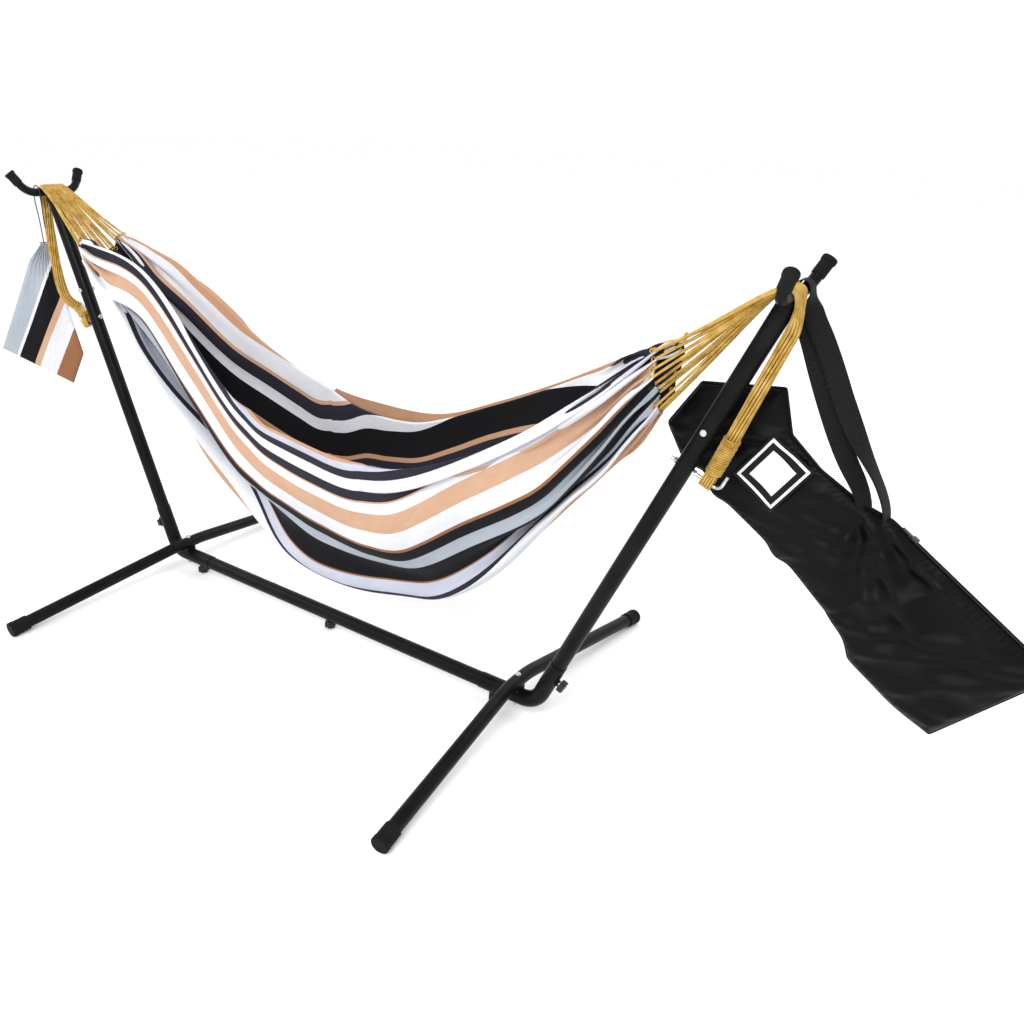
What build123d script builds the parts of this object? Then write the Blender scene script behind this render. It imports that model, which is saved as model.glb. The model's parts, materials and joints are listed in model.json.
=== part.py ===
from build123d import *
import math
import os

# Hammock hung in a folding-apart steel tube stand, with its carry bag and a storage pouch.
# Millimetres, +Z up, +X along the beam. The stand is first drawn about its own middle;
# write_parts() then moves everything so that the origin is the bottom centre of the whole box.

# Driving dimensions
FOOT_Y = 600.0            # beam centre line to the end of a leg tube
FOOT_X = 685.0            # the legs' arch leans outward, so the feet stand further out ...
LEG_X = 640.0             # ... than the place where a leg crosses the beam
FOOT_Z = 20.0             # height of a leg tube's axis at its end
BEAM_Z = 46.0             # height of the beam's axis
CORNER_X = 697.0          # where the beam's axis meets an upright's axis
LEAN = 22.8               # degrees from vertical
TUBE_OD = 40.0            # beam and uprights
LEG_OD = 36.0
WALL = 1.5
ELBOW_WALL = 1.5
FIT = 0.2                 # radial gap of a tube in its socket
ELBOW_OD = TUBE_OD + 2 * (FIT + ELBOW_WALL)
SADDLE_GAP = 2.0          # plate between an elbow and the leg that lies on it
LEG_Z = BEAM_Z + ELBOW_OD / 2 + SADDLE_GAP + LEG_OD / 2

STUB_END_X = 530.0        # inboard end of an elbow
BEAM_END_X = 618.0        # end of the beam inside the elbow
BEAM_KNOB_X = 574.0
MIDDLE_KNOB_X = -12.0     # just beside the joint of the two beam tubes
SLEEVE_HALF = 110.0
ELBOW_BEND_R = 60.0
SOCKET_TOP = 150.0        # distances along an upright, from the corner
UPRIGHT_START = 52.0
SOCKET_KNOB = 100.0
HOOK_AT = 786.0
SPLICE_AT = 832.0
SPLICE_BOLT_AT = 880.0
SPLICE_OVERLAP = 95.0
UPRIGHT_TOP = 1172.0
YOKE_AT = 1192.0

YOKE_ROD = 24.0
YOKE_FLAT = 50.0          # half of the level part that carries the cords
YOKE_BEND_R = 55.0
YOKE_RISE = 60.0          # degrees
YOKE_TIP = 35.0
CAP_LENGTH = 40.0
CAP_OD = 28.0

M8 = 4.0
HOLE = M8 + 0.1
PITCH = 1.25
KNOB_OD = 34.0
KNOB_HEIGHT = 14.0
WELD_NUT = 5.0
WASHER = 1.5

BED_END_X = 945.0         # where the fabric ends and the cords begin
# The hanging fabric's underside, front hem and rear hem at places along the beam:
# X, underside Z, front hem Y and Z, rear hem Y and Z
BED_STATIONS = [
    (-BED_END_X, 985, -72, 1038, 75, 1040),
    (-700, 690, -62, 980, 110, 932),
    (-470, 455, -66, 810, 137, 803),
    (-240, 300, -108, 672, 154, 700),
    (0, 203, -140, 640, 160, 670),
    (240, 216, -151, 628, 155, 680),
    (440, 282, -140, 672, 141, 757),
    (690, 548, -111, 812, 112, 888),
    (BED_END_X, 872, -70, 1028, 70, 1030),
]
CLOTH = 5.0
CORD_COUNT = 12
CORD_D = 5.0
CORD_PITCH = 7.0
LOOP_D = 30.0             # the bundle of cords that runs from the saddle down to the hook
WHIPPING_T = 3.0
WHIPPING_LENGTH = 85.0

BAG_Y = 80.0              # middle of the flat carry bag, just behind the uprights
BAG_THICK = 50.0
STRAP_Y = 66.0
STRAP_W = 20.0
STRAP_T = 2.5
STRAP_R = 19.0            # inside of the strap's turn over the horn
BAG_TOP = ((1400, 735), (1730, 515))  # X and Z of the ends of the bag's zipped edge
BAG_OUTLINE = [(985, 930), (923, 830), (965, 762), (1090, 677), (1220, 592), (1317, 507), (1378, 414),
               (1560, 311), BAG_TOP[1], BAG_TOP[0], (1335, 755), (1250, 802), (1182, 860), (1155, 950)]
ZIP_MARGIN = 40.0         # plain edge left beyond each end of the zip
STRAP_ENDS = ((1345, 754), (1388, 740.7))
LABEL_AT = (1165, 779)
LABEL_SIZE = (110, 124)

POUCH_X = -1200.0         # where the pouch's neck hangs, and the way its flat side runs
POUCH_Y = -22.0
POUCH_TURN = 30.0
POUCH_THICK = 36.0
POUCH_OUTLINE = [(-12, 985), (-60, 932), (-203, 634), (30, 528), (78, 632), (50, 756), (26, 896), (12, 985)]
STRING_Y = -50.0          # where the drawstring lies over the left yoke
STRING_D = 4.0

SIDES = {"left": -1, "right": 1}
parts = {}


def upright_point(side, along, out=0.0, y=0.0):
    """A point given by its distance along an upright from the corner, and outward from its axis."""
    lean = math.radians(LEAN)
    x = CORNER_X + along * math.sin(lean) + out * math.cos(lean)
    z = BEAM_Z + along * math.cos(lean) - out * math.sin(lean)
    return Vector(side * x, y, z)


def outward(side):
    lean = math.radians(LEAN)
    return Vector(side * math.cos(lean), 0, -math.sin(lean))


def rod(start, end, radius, inner=0.0):
    """A round bar from start to end, or a tube when inner is given."""
    start, end = Vector(start), Vector(end)
    frame = Plane(origin=start, z_dir=end - start)
    solid = extrude(frame * Circle(radius), (end - start).length)
    if inner:
        solid -= extrude(frame * Circle(inner), (end - start).length)
    return solid


def rounded(solid, far_point, radius):
    """The solid with its round edge nearest to far_point rounded off."""
    edge = solid.edges().filter_by(GeomType.CIRCLE).sort_by_distance(far_point)[0]
    return fillet(edge, radius)


def swept(points, bend, radius, inner=0.0):
    """A tube along straight runs that are joined by arcs of radius bend."""
    path = FilletPolyline(*points, radius=bend)
    ring = Circle(radius) - Circle(inner) if inner else Circle(radius)
    return sweep(Plane(origin=path @ 0, z_dir=path % 0) * ring, path=path)


def hexagon(centre, axis, across_flats, height):
    frame = Plane(origin=centre, z_dir=axis)
    return extrude(frame * RegularPolygon(across_flats / 2, 6, major_radius=False), height)


# Base: two beam tubes on a sleeve, an elbow at each end, a cross leg on each elbow

def make_beam():
    radius = TUBE_OD / 2
    for name, side in SIDES.items():
        tube = rod((side * 0.5, 0, BEAM_Z), (side * BEAM_END_X, 0, BEAM_Z), radius, radius - WALL)
        parts[f"beam_{name}"] = tube
    parts["beam_left"] -= rod((MIDDLE_KNOB_X, 0, BEAM_Z), (MIDDLE_KNOB_X, 0, 0), HOLE)
    left, right = (-SLEEVE_HALF, 0, BEAM_Z), (SLEEVE_HALF, 0, BEAM_Z)
    parts["beam_sleeve"] = rod(left, right, radius - WALL - FIT, radius - 2 * WALL - FIT)


def make_elbow(name, side):
    outer = ELBOW_OD / 2
    route = [(side * STUB_END_X, 0, BEAM_Z), (side * CORNER_X, 0, BEAM_Z), upright_point(side, SOCKET_TOP)]
    elbow = swept(route, ELBOW_BEND_R, outer, outer - ELBOW_WALL)
    elbow -= rod((side * BEAM_KNOB_X, 0, BEAM_Z), (side * BEAM_KNOB_X, 0, 0), HOLE)
    elbow -= rod(upright_point(side, SOCKET_KNOB), upright_point(side, SOCKET_KNOB, 40), HOLE)
    elbow -= rod((side * LEG_X, 0, 0), (side * LEG_X, 0, 2 * BEAM_Z), HOLE)
    parts[f"elbow_{name}"] = elbow


def make_leg(name, side):
    flat = 50.0
    route = [(side * FOOT_X, -FOOT_Y, FOOT_Z), (side * LEG_X, -flat, LEG_Z),
             (side * LEG_X, flat, LEG_Z), (side * FOOT_X, FOOT_Y, FOOT_Z)]
    leg = swept(route, 400.0, LEG_OD / 2, LEG_OD / 2 - WALL)
    leg -= rod((side * LEG_X, 0, LEG_Z - LEG_OD), (side * LEG_X, 0, LEG_Z + LEG_OD), HOLE)
    parts[f"cross_leg_{name}"] = leg

    # A block hollowed on both sides, so that the two round tubes sit square on each other
    low = BEAM_Z + ELBOW_OD / 2 - 5
    high = LEG_Z - LEG_OD / 2 + 6
    block = Pos(side * LEG_X, 0, (low + high) / 2) * Box(30, 34, high - low)
    block = fillet(block.edges().filter_by(Axis.Z), 5)
    block -= rod((side * 500, 0, BEAM_Z), (side * 800, 0, BEAM_Z), ELBOW_OD / 2)
    block -= rod((side * LEG_X, -60, LEG_Z), (side * LEG_X, 60, LEG_Z), LEG_OD / 2)
    block -= rod((side * LEG_X, 0, 0), (side * LEG_X, 0, 200), HOLE)
    parts[f"leg_saddle_{name}"] = block

    for end_name, end in (("front", -1), ("rear", 1)):
        tip = Vector(side * FOOT_X, end * FOOT_Y, FOOT_Z)
        inner = Vector(side * LEG_X, end * flat, LEG_Z)
        along = (tip - inner).normalized()
        cap = rod(tip - along * 45, tip + along * 8, LEG_OD / 2 + 3)
        cap += rod(tip - along * 6, tip + along * 8, LEG_OD / 2 + 4)
        cap = rounded(cap, tip + along * 30, 3)
        cap -= rod(tip - along * 50, tip, LEG_OD / 2)
        cap -= Pos(tip.X, tip.Y, -20) * Box(200, 200, 40)
        parts[f"foot_cap_{name}_{end_name}"] = cap


def bolt(head, axis, length, head_radius=7.5, head_height=5.0):
    """A bolt whose domed head sits on the point head and whose shank runs along axis."""
    frame = Plane(origin=head, z_dir=-Vector(axis))
    dome = extrude(frame * Circle(head_radius), head_height)
    dome = rounded(dome, head - Vector(axis) * 3 * head_height, 2.5)
    return dome + rod(head, head + Vector(axis) * length, M8)


def nut(seat, axis):
    """A hexagon nut standing on the point seat, with its hole along axis."""
    return hexagon(seat, axis, 13.0, 6.5) - rod(seat - axis, seat + axis * 8, M8)


# Uprights: a lower tube in the elbow, an upper tube over its swaged end, a yoke on top

def make_upright(name, side):
    radius = TUBE_OD / 2
    swage = radius - WALL - FIT
    shoulder = upright_point(side, SPLICE_AT - 8)
    end = upright_point(side, SPLICE_AT - 0.5)
    lower = rod(upright_point(side, UPRIGHT_START), end, radius, radius - WALL)
    lower += rod(shoulder, end, radius, swage - WALL)
    lower += rod(shoulder, upright_point(side, SPLICE_AT + SPLICE_OVERLAP), swage, swage - WALL)
    upper = rod(upright_point(side, SPLICE_AT), upright_point(side, UPRIGHT_TOP), radius, radius - WALL)
    bolt_axis = upright_point(side, SPLICE_BOLT_AT)
    splice = rod(bolt_axis - Vector(0, 60, 0), bolt_axis + Vector(0, 60, 0), HOLE)
    hook_hole = rod(upright_point(side, HOOK_AT, -60), upright_point(side, HOOK_AT, 60), HOLE)
    parts[f"upright_lower_{name}"] = lower - splice - hook_hole
    parts[f"upright_upper_{name}"] = upper - splice


def yoke_points(side):
    """Corners of the yoke's centre line, from the front tip to the rear tip."""
    rise = math.radians(YOKE_RISE)
    corner = YOKE_FLAT + YOKE_BEND_R * math.tan(rise / 2)
    leg = YOKE_BEND_R * math.tan(rise / 2) + YOKE_TIP
    tip_y = corner + leg * math.cos(rise)
    tip_up = leg * math.sin(rise)
    return [upright_point(side, YOKE_AT + tip_up, 0, -tip_y), upright_point(side, YOKE_AT, 0, -corner),
            upright_point(side, YOKE_AT, 0, corner), upright_point(side, YOKE_AT + tip_up, 0, tip_y)]


def make_yoke(name, side):
    points = yoke_points(side)
    yoke = swept(points, YOKE_BEND_R, YOKE_ROD / 2)
    plug = TUBE_OD / 2 - WALL - FIT
    yoke += rod(upright_point(side, UPRIGHT_TOP - 60), upright_point(side, UPRIGHT_TOP), plug)
    yoke += rod(upright_point(side, UPRIGHT_TOP), upright_point(side, YOKE_AT - 8), TUBE_OD / 2 - 1)
    parts[f"yoke_{name}"] = yoke
    for end_name, tip, before in (("front", points[0], points[1]), ("rear", points[3], points[2])):
        along = (tip - before).normalized()
        cap = rod(tip - along * (CAP_LENGTH - 6), tip + along * 6, CAP_OD / 2)
        cap += rod(tip - along * 4, tip + along * 6, CAP_OD / 2 + 1.5)
        cap = rounded(cap, tip + along * 40, 3)
        cap -= rod(tip - along * CAP_LENGTH, tip, YOKE_ROD / 2)
        parts[f"horn_cap_{name}_{end_name}"] = cap


def make_hook(name, side):
    """A round bar through the upright, turned up at its outer end to hold the cords' loop."""
    reach = 86.0
    lift = 36.0
    route = [upright_point(side, HOOK_AT, -34), upright_point(side, HOOK_AT, reach),
             upright_point(side, HOOK_AT + lift, reach)]
    parts[f"loop_hook_{name}"] = swept(route, 14.0, M8)


# Fasteners: studs with plastic knobs, washers and weld nuts, bolts and nuts

def knob_places():
    """Name, point on the tube's surface, and the direction in which the knob comes off."""
    under = Vector(0, 0, -1)
    places = {
        "beam_left": (Vector(-BEAM_KNOB_X, 0, BEAM_Z), under, ELBOW_OD / 2),
        "beam_middle": (Vector(MIDDLE_KNOB_X, 0, BEAM_Z), under, TUBE_OD / 2),
        "beam_right": (Vector(BEAM_KNOB_X, 0, BEAM_Z), under, ELBOW_OD / 2),
    }
    for name, side in SIDES.items():
        places[f"upright_{name}"] = (upright_point(side, SOCKET_KNOB), outward(side), ELBOW_OD / 2)
    return places


def make_knobs():
    weld_nuts = []
    for name, (axis_point, away, surface) in knob_places().items():
        seat = axis_point + away * (surface - 1.0)
        face = axis_point + away * (surface + WELD_NUT)
        inner_surface = TUBE_OD / 2 if surface > TUBE_OD / 2 else TUBE_OD / 2 - WALL - FIT
        weld_nut = rod(seat, face, 9.0) - rod(seat - away, face + away, HOLE)
        weld_nut -= tube_around(axis_point, away, surface)
        weld_nuts.append(weld_nut)
        head = face + away * WASHER
        parts[f"washer_{name}"] = rod(face, head, 11.0) - rod(face - away, head + away, HOLE)
        parts[f"stud_{name}"] = rod(axis_point + away * inner_surface, head + away * 9, M8)
        frame = Plane(origin=head, z_dir=away)
        lobes = Circle(KNOB_OD / 2 - 3)
        for lobe in PolarLocations(KNOB_OD / 2 - 4.5, 6):
            lobes += lobe * Circle(4.5)
        knob = extrude(frame * lobes, KNOB_HEIGHT)
        knob -= rod(head - away, head + away * 9, M8)
        parts[f"knob_{name}"] = knob
    parts["weld_nuts"] = Compound(weld_nuts)


def tube_around(axis_point, away, surface):
    """The tube that a weld nut sits on, as a solid bar."""
    along = Vector(1, 0, 0) if abs(away.X) < 0.1 else Vector(-away.Z, 0, away.X)
    return rod(axis_point - along * 30, axis_point + along * 30, surface)


def make_fasteners():
    nuts = []
    leg_bolts = []
    splice_bolts = []
    for side in SIDES.values():
        top = Vector(side * LEG_X, 0, LEG_Z + LEG_OD / 2)
        down = Vector(0, 0, -1)
        bottom = BEAM_Z - ELBOW_OD / 2 + 0.5
        leg_bolts.append(bolt(top, down, top.Z - bottom + 9))
        nuts.append(nut(Vector(side * LEG_X, 0, bottom - 1), down))
        head = upright_point(side, SPLICE_BOLT_AT, 0, -TUBE_OD / 2)
        splice_bolts.append(bolt(head, Vector(0, 1, 0), TUBE_OD + 10))
        nuts.append(nut(head + Vector(0, TUBE_OD, 0), Vector(0, 1, 0)))
        nuts.append(nut(upright_point(side, HOOK_AT, TUBE_OD / 2), outward(side)))
        nuts.append(nut(upright_point(side, HOOK_AT, -TUBE_OD / 2), -outward(side)))
    parts["leg_bolts"] = Compound(leg_bolts)
    parts["splice_bolts"] = Compound(splice_bolts)
    parts["hex_nuts"] = Compound(nuts)


# Hammock: the fabric, its fans of cords, and the loops that run over the saddles to the hooks

def bed_point(station, turn, inset=0.0):
    """A point of the trough's section: turn runs from -90 at the front hem to 90 at the rear hem."""
    x, low, front_y, front_z, rear_y, rear_z = station
    half, rim = (-front_y, front_z) if turn < 0 else (rear_y, rear_z)
    angle = math.radians(turn)
    y = (half - inset) * math.sin(angle)
    z = low + inset + (rim - low - inset) * (1 - math.cos(angle))
    return Vector(x, y, z)


def make_bed():
    turns = [-90, -70, -45, -20, 0, 20, 45, 70, 90]
    sections = []
    for station in BED_STATIONS:
        outer = [bed_point(station, turn) for turn in turns]
        inner = [bed_point(station, turn, CLOTH) for turn in reversed(turns)]
        sections.append(make_face(Polyline(*outer, *inner, close=True)))
    parts["hammock_bed"] = loft(sections, ruled=True)


def make_cords(name, side):
    saddle_z = upright_point(side, YOKE_AT).Z + YOKE_ROD / 2 + 3
    cords = []
    for index in range(CORD_COUNT):
        spread = index - (CORD_COUNT - 1) / 2
        start = Vector(side * (abs(upright_point(side, YOKE_AT).X) - 22), spread * CORD_PITCH, saddle_z)
        hem = bed_point(BED_STATIONS[0 if side < 0 else -1], spread * 165 / CORD_COUNT, CLOTH / 2)
        end = hem + Vector(side * 3.0, 0, 0)
        cords.append(rod(start, end, CORD_D / 2))
    parts[f"fan_cords_{name}"] = Compound(cords)


def make_end_loop(name, side):
    """The cords as one flat band over the saddle and one round bundle from there to the hook."""
    centre = upright_point(side, YOKE_AT)
    inner = YOKE_ROD / 2 + 0.4
    band = rod(centre + Vector(0, -42, 0), centre + Vector(0, 42, 0), inner + 5, inner)
    band -= Pos(centre.X, 0, centre.Z - 18) * Box(60, 100, 40)
    shoulder = upright_point(side, YOKE_AT - 4, 41)
    waist = {-1: upright_point(side, 870, 78, -45), 1: upright_point(side, 960, 60)}[side]
    bottom = upright_point(side, HOOK_AT + 22, 56)
    bundle = swept([shoulder, waist, bottom], 40.0, LOOP_D / 2)
    along = (waist - bottom).normalized()
    length = min(WHIPPING_LENGTH, (waist - bottom).length * 0.5)
    low, high = bottom + along * 4, bottom + along * (4 + length)
    parts[f"end_loop_{name}"] = bundle
    parts[f"loop_whipping_{name}"] = rod(low, high, LOOP_D / 2 + WHIPPING_T, LOOP_D / 2)
    parts[f"saddle_band_{name}"] = band


# Carry bag on the right rear horn, storage pouch on the left yoke

def bag_hang():
    """Centre of the strap's turn over the right rear horn."""
    point = upright_point(1, YOKE_AT + 3)
    return Vector(point.X, STRAP_Y, point.Z)


def zip_ends():
    first, last = [Vector(x, BAG_Y, z) for x, z in BAG_TOP]
    inset = (last - first).normalized() * ZIP_MARGIN
    return first + inset, last - inset


def make_bag():
    face = make_face(Polyline(*[(x, 0, z) for x, z in BAG_OUTLINE], close=True))
    bag = Pos(0, BAG_Y, 0) * extrude(face, BAG_THICK / 2, both=True, dir=(0, 1, 0))
    parts["carry_bag"] = fillet(bag.edges().filter_by(Axis.Y), 22)

    hang = bag_hang()
    middle = STRAP_R + STRAP_T / 2
    side_view = Plane(origin=(0, STRAP_Y, 0), x_dir=(1, 0, 0), z_dir=(0, -1, 0))
    left, right = STRAP_ENDS
    turn_left = (hang.X - middle, hang.Z)
    turn_top = (hang.X, hang.Z + middle)
    turn_right = (hang.X + middle, hang.Z)
    route = Line(left, turn_left) + ThreePointArc(turn_left, turn_top, turn_right) + Line(turn_right, right)
    ribbon = make_face(offset(route, STRAP_T / 2, side=Side.BOTH))
    parts["bag_strap"] = extrude(side_view * ribbon, STRAP_W / 2, both=True)

    start, end = zip_ends()
    along = (end - start).normalized()
    off = Vector(-along.Z, 0, along.X)
    edge = Plane(origin=start + off * 0.2, x_dir=along, z_dir=off)
    length = (end - start).length
    parts["bag_zip"] = extrude(edge * Pos(length / 2, 0) * Rectangle(length, 16), 1.6)
    slider_base = Plane(origin=start + off * 2.2 + along * 14, x_dir=along, z_dir=off)
    slider = extrude(slider_base * Rectangle(13, 10), 6)
    slider += extrude(slider_base.offset(2) * Pos(-16, 0) * SlotOverall(32, 8), 1.6)
    parts["zip_slider"] = slider

    front = BAG_Y - BAG_THICK / 2 - 0.2
    patch = Plane(origin=(LABEL_AT[0], front, LABEL_AT[1]), x_dir=along, z_dir=(0, -1, 0))
    parts["bag_label"] = extrude(patch * RectangleRounded(*LABEL_SIZE, 4), 1.2)


def pouch_plane():
    turn = math.radians(POUCH_TURN)
    sideways = Vector(math.cos(turn), math.sin(turn), 0)
    return Plane(origin=(POUCH_X, POUCH_Y, 0), x_dir=sideways, z_dir=sideways.cross(Vector(0, 0, 1)))


def make_pouch():
    face = make_face(Polyline(*POUCH_OUTLINE, close=True))
    pouch = extrude(pouch_plane() * face, POUCH_THICK / 2, both=True)
    parts["storage_pouch"] = pouch

    yoke = upright_point(-1, YOKE_AT)
    reach = YOKE_ROD / 2 + STRING_D / 2 + 3
    neck = pouch_plane().from_local_coords(Vector(-5, 986, 0))
    neck_back = pouch_plane().from_local_coords(Vector(5, 986, 0))
    below, above = yoke.Z - 14, yoke.Z + reach
    outer, inner = yoke.X - reach, yoke.X + reach
    route = [neck, Vector(outer, STRING_Y, below), Vector(outer, STRING_Y, above),
             Vector(inner, STRING_Y, above), Vector(inner, STRING_Y, below), neck_back]
    parts["pouch_drawstring"] = swept(route, 12.0, STRING_D / 2)


def main():
    make_beam()
    make_knobs()
    make_fasteners()
    for name, side in SIDES.items():
        make_elbow(name, side)
        make_leg(name, side)
        make_upright(name, side)
        make_yoke(name, side)
        make_hook(name, side)
        make_cords(name, side)
        make_end_loop(name, side)
    make_bed()
    make_bag()
    make_pouch()


def object_middle():
    """The X of the whole box's middle: the carry bag reaches further out than the pouch."""
    boxes = [shape.bounding_box() for shape in parts.values()]
    return (min(box.min.X for box in boxes) + max(box.max.X for box in boxes)) / 2


def write_parts():
    os.makedirs("parts", exist_ok=True)
    for node, shape in parts.items():
        pieces = [Pos(-origin_x, 0, 0) * solid for solid in shape.solids()]
        export_step(pieces[0] if len(pieces) == 1 else Compound(pieces), f"parts/{node}.step")


main()
origin_x = object_middle()
write_parts()
print("nodes", len(parts), "origin moved by", round(origin_x, 3))
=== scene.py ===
import json
import math

import bpy
import numpy as np
from mathutils import Matrix, Vector


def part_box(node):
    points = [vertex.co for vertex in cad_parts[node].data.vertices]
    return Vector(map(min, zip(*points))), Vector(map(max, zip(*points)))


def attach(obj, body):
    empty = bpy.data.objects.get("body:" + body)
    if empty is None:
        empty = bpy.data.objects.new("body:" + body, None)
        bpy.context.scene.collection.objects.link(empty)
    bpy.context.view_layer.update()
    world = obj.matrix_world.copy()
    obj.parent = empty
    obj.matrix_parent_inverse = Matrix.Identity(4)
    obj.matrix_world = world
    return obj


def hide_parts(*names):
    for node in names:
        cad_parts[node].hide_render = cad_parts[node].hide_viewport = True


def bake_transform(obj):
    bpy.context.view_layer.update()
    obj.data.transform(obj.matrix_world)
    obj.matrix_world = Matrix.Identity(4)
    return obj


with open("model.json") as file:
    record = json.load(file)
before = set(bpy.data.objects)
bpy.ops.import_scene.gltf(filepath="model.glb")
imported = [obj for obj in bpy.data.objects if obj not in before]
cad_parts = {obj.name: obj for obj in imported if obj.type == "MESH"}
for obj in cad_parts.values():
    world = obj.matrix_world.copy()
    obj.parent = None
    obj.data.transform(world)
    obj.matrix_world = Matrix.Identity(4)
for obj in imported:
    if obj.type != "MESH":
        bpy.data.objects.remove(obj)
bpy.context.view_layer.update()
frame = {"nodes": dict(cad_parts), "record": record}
MIDDLE = (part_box("elbow_left")[0].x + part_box("elbow_right")[1].x) / 2
SIDES = {"left": -1, "right": 1}
rng = np.random.default_rng(7)

# The stand's driving sizes, in metres, about its own middle

CORNER_X = 0.697
BEAM_Z = 0.046
LEAN = math.radians(22.8)
HOOK_AT = 0.786
YOKE_AT = 1.192
YOKE_R = 0.012
BAG_Y = 0.080
STRAP_Y = 0.066
POUCH_X = -1.192
POUCH_Y = -0.022
POUCH_TURN = math.radians(30)
STRING_Y = -0.050


def upright_point(side, along, out=0.0, y=0.0):
    """A point given by its distance along an upright from the corner, and outward from its axis."""
    x = CORNER_X + along * math.sin(LEAN) + out * math.cos(LEAN)
    z = BEAM_Z + along * math.cos(LEAN) - out * math.sin(LEAN)
    return np.array([MIDDLE + side * x, y, z])


def frame_points(node):
    """The corners of a CAD node's mesh, about the stand's middle."""
    return np.array([vertex.co for vertex in frame["nodes"][node].data.vertices]) - (MIDDLE, 0, 0)


def smoothstep(x, low, high):
    t = np.clip((np.asarray(x, float) - low) / (high - low), 0, 1)
    return t * t * (3 - 2 * t)


# Materials

class Finish:
    """A Principled material with a few helpers for its procedural nodes."""

    def __init__(self, name, colour, roughness, metallic=0.0, sheen=0.0, specular=0.5, coat=0.0):
        self.material = bpy.data.materials.new(name)
        self.material.use_nodes = True
        self.tree = self.material.node_tree
        self.shader = self.tree.nodes["Principled BSDF"]
        self.shader.inputs["Base Color"].default_value = (*colour, 1)
        self.shader.inputs["Roughness"].default_value = roughness
        self.shader.inputs["Metallic"].default_value = metallic
        self.shader.inputs["Sheen Weight"].default_value = sheen
        self.shader.inputs["Specular IOR Level"].default_value = specular
        self.shader.inputs["Coat Weight"].default_value = coat
        self.normal = None

    def node(self, kind, **settings):
        made = self.tree.nodes.new(kind)
        for key, value in settings.items():
            setattr(made, key, value)
        return made

    def link(self, source, target):
        self.tree.links.new(source, target)
        return source

    def place(self, attribute=None, scale=(1, 1, 1)):
        """Coordinates in metres, from the object or from a stored attribute, times scale."""
        if attribute:
            source = self.node("ShaderNodeAttribute", attribute_name=attribute).outputs["Vector"]
        else:
            source = self.node("ShaderNodeTexCoord").outputs["Object"]
        mapping = self.node("ShaderNodeMapping")
        mapping.inputs["Scale"].default_value = scale
        self.link(source, mapping.inputs["Vector"])
        return mapping.outputs["Vector"]

    def noise(self, at, scale, detail=3.0, roughness=0.5):
        made = self.node("ShaderNodeTexNoise")
        made.inputs["Scale"].default_value = scale
        made.inputs["Detail"].default_value = detail
        made.inputs["Roughness"].default_value = roughness
        self.link(at, made.inputs["Vector"])
        return made.outputs["Fac"]

    def wave(self, at, scale, axis="X", profile="SIN", distortion=0.0):
        made = self.node("ShaderNodeTexWave", bands_direction=axis, wave_profile=profile)
        made.inputs["Scale"].default_value = scale
        made.inputs["Distortion"].default_value = distortion
        self.link(at, made.inputs["Vector"])
        return made.outputs["Fac"]

    def ramp(self, value, stops, interpolation="LINEAR"):
        made = self.node("ShaderNodeValToRGB")
        made.color_ramp.interpolation = interpolation
        elements = made.color_ramp.elements
        while len(elements) < len(stops):
            elements.new(1.0)
        for element, (position, colour) in zip(elements, stops):
            element.position = position
            element.color = (*colour, 1)
        self.link(value, made.inputs["Fac"])
        return made.outputs["Color"]

    def math(self, operation, a, b=0.5, clamp=False):
        made = self.node("ShaderNodeMath", operation=operation, use_clamp=clamp)
        for socket, value in zip(made.inputs, (a, b)):
            if isinstance(value, (int, float)):
                socket.default_value = value
            else:
                self.link(value, socket)
        return made.outputs["Value"]

    def mix(self, factor, a, b, blend="MIX"):
        made = self.node("ShaderNodeMix", data_type="RGBA", blend_type=blend)
        for socket, value in ((made.inputs[0], factor), (made.inputs[6], a), (made.inputs[7], b)):
            if isinstance(value, (int, float)):
                socket.default_value = value
            elif isinstance(value, tuple):
                socket.default_value = (*value, 1)
            else:
                self.link(value, socket)
        return made.outputs[2]

    def bump(self, height, strength, distance):
        made = self.node("ShaderNodeBump")
        made.inputs["Strength"].default_value = strength
        made.inputs["Distance"].default_value = distance
        self.link(height, made.inputs["Height"])
        if self.normal is not None:
            self.link(self.normal, made.inputs["Normal"])
        self.normal = made.outputs["Normal"]
        self.link(self.normal, self.shader.inputs["Normal"])

    def colour(self, source):
        self.link(source, self.shader.inputs["Base Color"])

    def rough(self, value, low, high):
        made = self.node("ShaderNodeMapRange")
        made.inputs["To Min"].default_value = low
        made.inputs["To Max"].default_value = high
        self.link(value, made.inputs["Value"])
        self.link(made.outputs["Result"], self.shader.inputs["Roughness"])


def moulded(name, dark, light, low, high, grain, depth, **settings):
    """Paint, rubber or plastic: fine grain, soft colour variation and uneven gloss."""
    made = Finish(name, dark, (low + high) / 2, **settings)
    at = made.place()
    broad = made.noise(at, 14.0, 4.0)
    made.colour(made.ramp(broad, [(0.35, dark), (0.7, light)]))
    made.rough(made.noise(at, 60.0, 4.0), low, high)
    made.bump(made.noise(at, grain, 2.0), 0.35, depth)
    return made.material


def make_zinc():
    made = Finish("zinc_steel", (0.55, 0.56, 0.58), 0.3, metallic=1.0)
    at = made.place()
    made.colour(made.ramp(made.noise(at, 90.0, 5.0), [(0.3, (0.36, 0.37, 0.39)), (0.7, (0.66, 0.67, 0.68))]))
    made.rough(made.noise(at, 240.0, 3.0), 0.22, 0.45)
    made.bump(made.noise(at, 700.0, 2.0), 0.15, 0.0002)
    return made.material


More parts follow.
